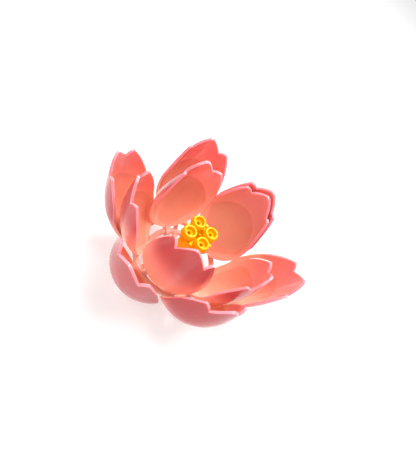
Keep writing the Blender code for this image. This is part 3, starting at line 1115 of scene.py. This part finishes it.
@dataclass
class Stamens:
    """The yellow centre: four cups whose posts stand in a square base with hooked ribs."""

    pitch: float = 8.0
    clearance: float = 0.3
    rim: float = 3.35
    rim_ease: float = 0.26
    rim_turn: float = 0.08
    bore: float = 2.35
    step_bore: float = 2.2
    step_at: float = -0.9
    floor_at: float = -2.0
    dimple: float = 0.85
    dimple_floor: float = -8.0
    ease: float = 0.14
    shoulder: Outline = ((3.83, -2.1), (3.71, -1.8), (3.6, -1.1), (3.35, -0.85))
    body: float = 3.83
    body_bottom: float = -3.5
    body_ease: float = 0.3
    post: float = 1.6
    post_bottom: float = -8.6
    post_ease: float = 0.2
    side: float = 5.75
    corner: float = 1.8
    corner_steps: int = 8
    top: float = -6.2
    bottom: float = -14.1
    pin_socket_top: float = -9.5
    well: float = 2.4
    well_floor: float = -9.2
    rib_width: float = 1.3
    rib_ease: float = 0.12
    rib_outline: Outline = ((4.75, -6.8), (7.3, -5.4), (7.9, -3.8), (7.9, -2.7), (6.75, -2.7),
                            (6.75, -4.1), (4.75, -4.1))

    def cup(self) -> bpy.types.Object:
        """Turn one cup: a post, a barrel with a shoulder, and a stepped bore with a dimple.

        Returns:
            The cup, with its axis at the origin.
        """
        ease = self.ease
        return turned((
            (self.post - self.post_ease, self.post_bottom), (self.post, self.post_bottom + self.post_ease),
            (self.post, self.body_bottom), (self.body - self.body_ease, self.body_bottom),
            (self.body, self.body_bottom + self.body_ease), *self.shoulder,
            (self.rim, -self.rim_ease), (self.rim - self.rim_turn, -self.rim_turn),
            (self.rim - self.rim_ease, 0.0), (self.bore + ease, 0.0),
            (self.bore + ease * ARC_SHARE, -ease * ARC_SHARE), (self.bore, -ease),
            (self.bore, self.step_at), (self.step_bore + ease, self.step_at),
            (self.step_bore, self.step_at - ease), (self.step_bore, self.floor_at),
            (self.dimple + ease, self.floor_at), (self.dimple, self.floor_at - ease),
            (self.dimple, self.dimple_floor),
        ))

    def rib(self, azimuth: float) -> bpy.types.Object:
        """Cut one hooked rib that rises from the base into the gap between two cups.

        Args:
            azimuth: The side that it stands on, in degrees.

        Returns:
            The rib.
        """
        half = self.rib_width / 2
        piece = plate(self.rib_outline, -half, half, ON_EDGE)
        round_edges(piece, self.rib_ease)
        settle(piece, turn(azimuth))
        return piece

    def block(self) -> bpy.types.Object:
        """Cut the square block with round corners that the base starts as.

        Returns:
            The block.
        """
        outline = []
        inner = self.side - self.corner
        for quadrant in range(4):
            sign = Vector((1 if quadrant in (0, 3) else -1, 1 if quadrant in (0, 1) else -1))
            for k in range(self.corner_steps + 1):
                angle = math.pi / 2 * (quadrant + k / self.corner_steps)
                outline.append((sign.x * inner + self.corner * math.cos(angle),
                                sign.y * inner + self.corner * math.sin(angle)))
        piece = plate(outline, self.bottom, self.top)
        round_edges(piece, self.body_ease, segments=3, angle=60.0)
        return piece

    def base(self) -> bpy.types.Object:
        """Add the ribs to the block, then bore the four sockets, the pin's bore and the well.

        Returns:
            The base.
        """
        piece = self.block()
        combine(piece, [self.rib(90.0 * k) for k in range(4)])
        half, side = self.pitch / 2, self.well
        above, below = self.top + 1.0, self.bottom - 1.0
        socket = self.post + self.clearance
        bores = [turned(((socket, self.post_bottom - self.clearance), (socket, above)), 32,
                        (sx * half, sy * half)) for sx in (1, -1) for sy in (1, -1)]
        bores.append(turned(((STACK_BORE, below), (STACK_BORE, self.pin_socket_top)), 32))
        bores.append(plate(((-side, -side), (side, -side), (side, side), (-side, side)),
                           self.well_floor, above))
        combine(piece, bores, Cut.TAKE_AWAY)
        return tidy_shell(piece)

    def build(self, cup_finish: bpy.types.Material, base_finish: bpy.types.Material) -> None:
        """Make the base and the four cups.

        Args:
            cup_finish: The cups' yellow, painted darker and more orange than the base, as painted shade.
            base_finish: The base's yellow, the same plastic painted lighter, as painted light.
        """
        deliver(self.base(), "centre_base", "stamen_base", base_finish)
        master = self.cup()
        corners = ((-1, -1, 0.0), (1, -1, 90.0), (1, 1, 180.0), (-1, 1, 270.0))
        half = self.pitch / 2
        for number, (sx, sy, degrees) in enumerate(corners, start=1):
            place = Matrix.Translation((sx * half, sy * half, 0.0)) @ turn(degrees)
            deliver(copy_of(master), f"cup_{number}", f"stamen_cup_{number}", cup_finish,
                    place)
        bpy.data.objects.remove(master)


# ---- studio --------------------------------------------------------------------------------


def towards(azimuth: float, elevation: float) -> Vector:
    """Return the direction to an azimuth from +X and an elevation, in degrees."""
    a, e = math.radians(azimuth), math.radians(elevation)
    return Vector((math.cos(e) * math.cos(a), math.cos(e) * math.sin(a), math.sin(e)))


@dataclass(frozen=True)
class Lamp:
    """A soft square lamp that is aimed at the flower."""

    name: str
    azimuth: float
    elevation: float
    distance: float
    side: float
    power: float

    def hang(self, aim: Vector) -> None:
        """Hang the lamp and turn it to a point.

        Args:
            aim: The point that it faces, in metres.
        """
        light = bpy.data.lights.new(self.name, "AREA")
        light.energy, light.size = self.power, self.side
        lamp = bpy.data.objects.new(self.name, light)
        away = towards(self.azimuth, self.elevation)
        lamp.location = aim + away * self.distance
        lamp.rotation_euler = away.to_track_quat("Z", "Y").to_euler()
        bpy.context.scene.collection.objects.link(lamp)


@dataclass
class Studio:
    """The pale floor, the soft lamps and the camera, in metres and degrees."""

    aim: Triple = (0.003155, 0.000625, 0.041028)
    azimuth: float = -95.56
    elevation: float = 51.88
    roll: float = 49.39
    distance: float = 0.2
    focal: float = 36.87
    sensor: float = 36.0
    near: float = 0.01
    floor_side: float = 6.0
    floor_colour: Colour = (0.70, 0.70, 0.70)
    floor_grain: float = 0.985
    floor_roughness: float = 0.9
    floor_glow: float = 0.38
    sky: float = 0.42
    lamps: tuple[Lamp, ...] = (
        Lamp("back_key", 108.0, 48.0, 0.4, 0.12, 1.7),
        Lamp("top_box", 75.0, 80.0, 0.4, 0.25, 1.85),
        Lamp("front_fill", -112.0, 50.0, 0.4, 0.2, 0.6),
    )

    def lay_floor(self) -> None:
        """Lay the plain pale floor under the foot."""
        bpy.ops.mesh.primitive_plane_add(size=self.floor_side, location=(0.0, 0.0, 0.0))
        floor = bpy.context.object
        floor.name = "floor"
        sheet = NodeSheet("floor_paper")
        darker = tuple(c * self.floor_grain for c in self.floor_colour)
        sheet.dress({
            "Base Color": sheet.blend(sheet.speckle(2.0, 3.0), self.floor_colour, darker),
            "Roughness": self.floor_roughness,
            "Emission Color": WHITE,
            "Emission Strength": self.floor_glow,
        })
        floor.data.materials.append(sheet.material)

    def light(self) -> None:
        """Light the sky evenly and hang the lamps."""
        world = bpy.data.worlds.new("studio")
        world.use_nodes = True
        background = world.node_tree.nodes["Background"]
        background.inputs["Color"].default_value = WHITE
        background.inputs["Strength"].default_value = self.sky
        bpy.context.scene.world = world
        for lamp in self.lamps:
            lamp.hang(Vector(self.aim))

    def stand_camera(self) -> None:
        """Stand the camera at its azimuth and elevation, rolled about its view."""
        back = towards(self.azimuth, self.elevation)
        level = towards(self.azimuth + 90.0, 0.0)
        steep = back.cross(level)  # up, before the roll
        tilt = math.radians(self.roll)
        right = level * math.cos(tilt) + steep * math.sin(tilt)
        up = back.cross(right)
        lens = bpy.data.cameras.new("camera")
        lens.sensor_fit, lens.sensor_width, lens.lens = "HORIZONTAL", self.sensor, self.focal
        lens.clip_start = self.near
        camera = bpy.data.objects.new("camera", lens)
        camera.matrix_world = (Matrix.Translation(Vector(self.aim) + back * self.distance)
                               @ Matrix((right, up, back)).transposed().to_4x4())
        bpy.context.scene.collection.objects.link(camera)
        bpy.context.scene.camera = camera

    def build(self) -> None:
        """Set up the whole studio."""
        self.lay_floor()
        self.light()
        self.stand_camera()
        bpy.context.scene.view_settings.view_transform = "Standard"


def main() -> None:
    """Build every sub-assembly in order, then the studio."""
    logging.basicConfig(level=logging.INFO, format="%(name)s: %(message)s")
    structure = PlainPlastic("structure_finish", (0.86, 0.36, 0.27), (0.80, 0.31, 0.23)).make()
    # The cups and the base are one yellow plastic: the cups are painted darker as painted shade, the base
    # lighter as painted light.
    cup_yellow_painted_shade = PlainPlastic(
        "cup_finish", (0.92, 0.41, 0.001), (0.88, 0.34, 0.001), coat=0.0, shine=0.1,
    ).make()
    base_yellow_painted_light = PlainPlastic(
        "centre_base_finish", (0.96, 0.55, 0.002), (0.92, 0.49, 0.002), coat=0.0, shine=0.1,
    ).make()
    Corolla().build()
    Carriers().build(structure)
    Hub().build(structure)
    Stamens().build(cup_yellow_painted_shade, base_yellow_painted_light)
    Studio().build()


if __name__ == "__main__":
    main()
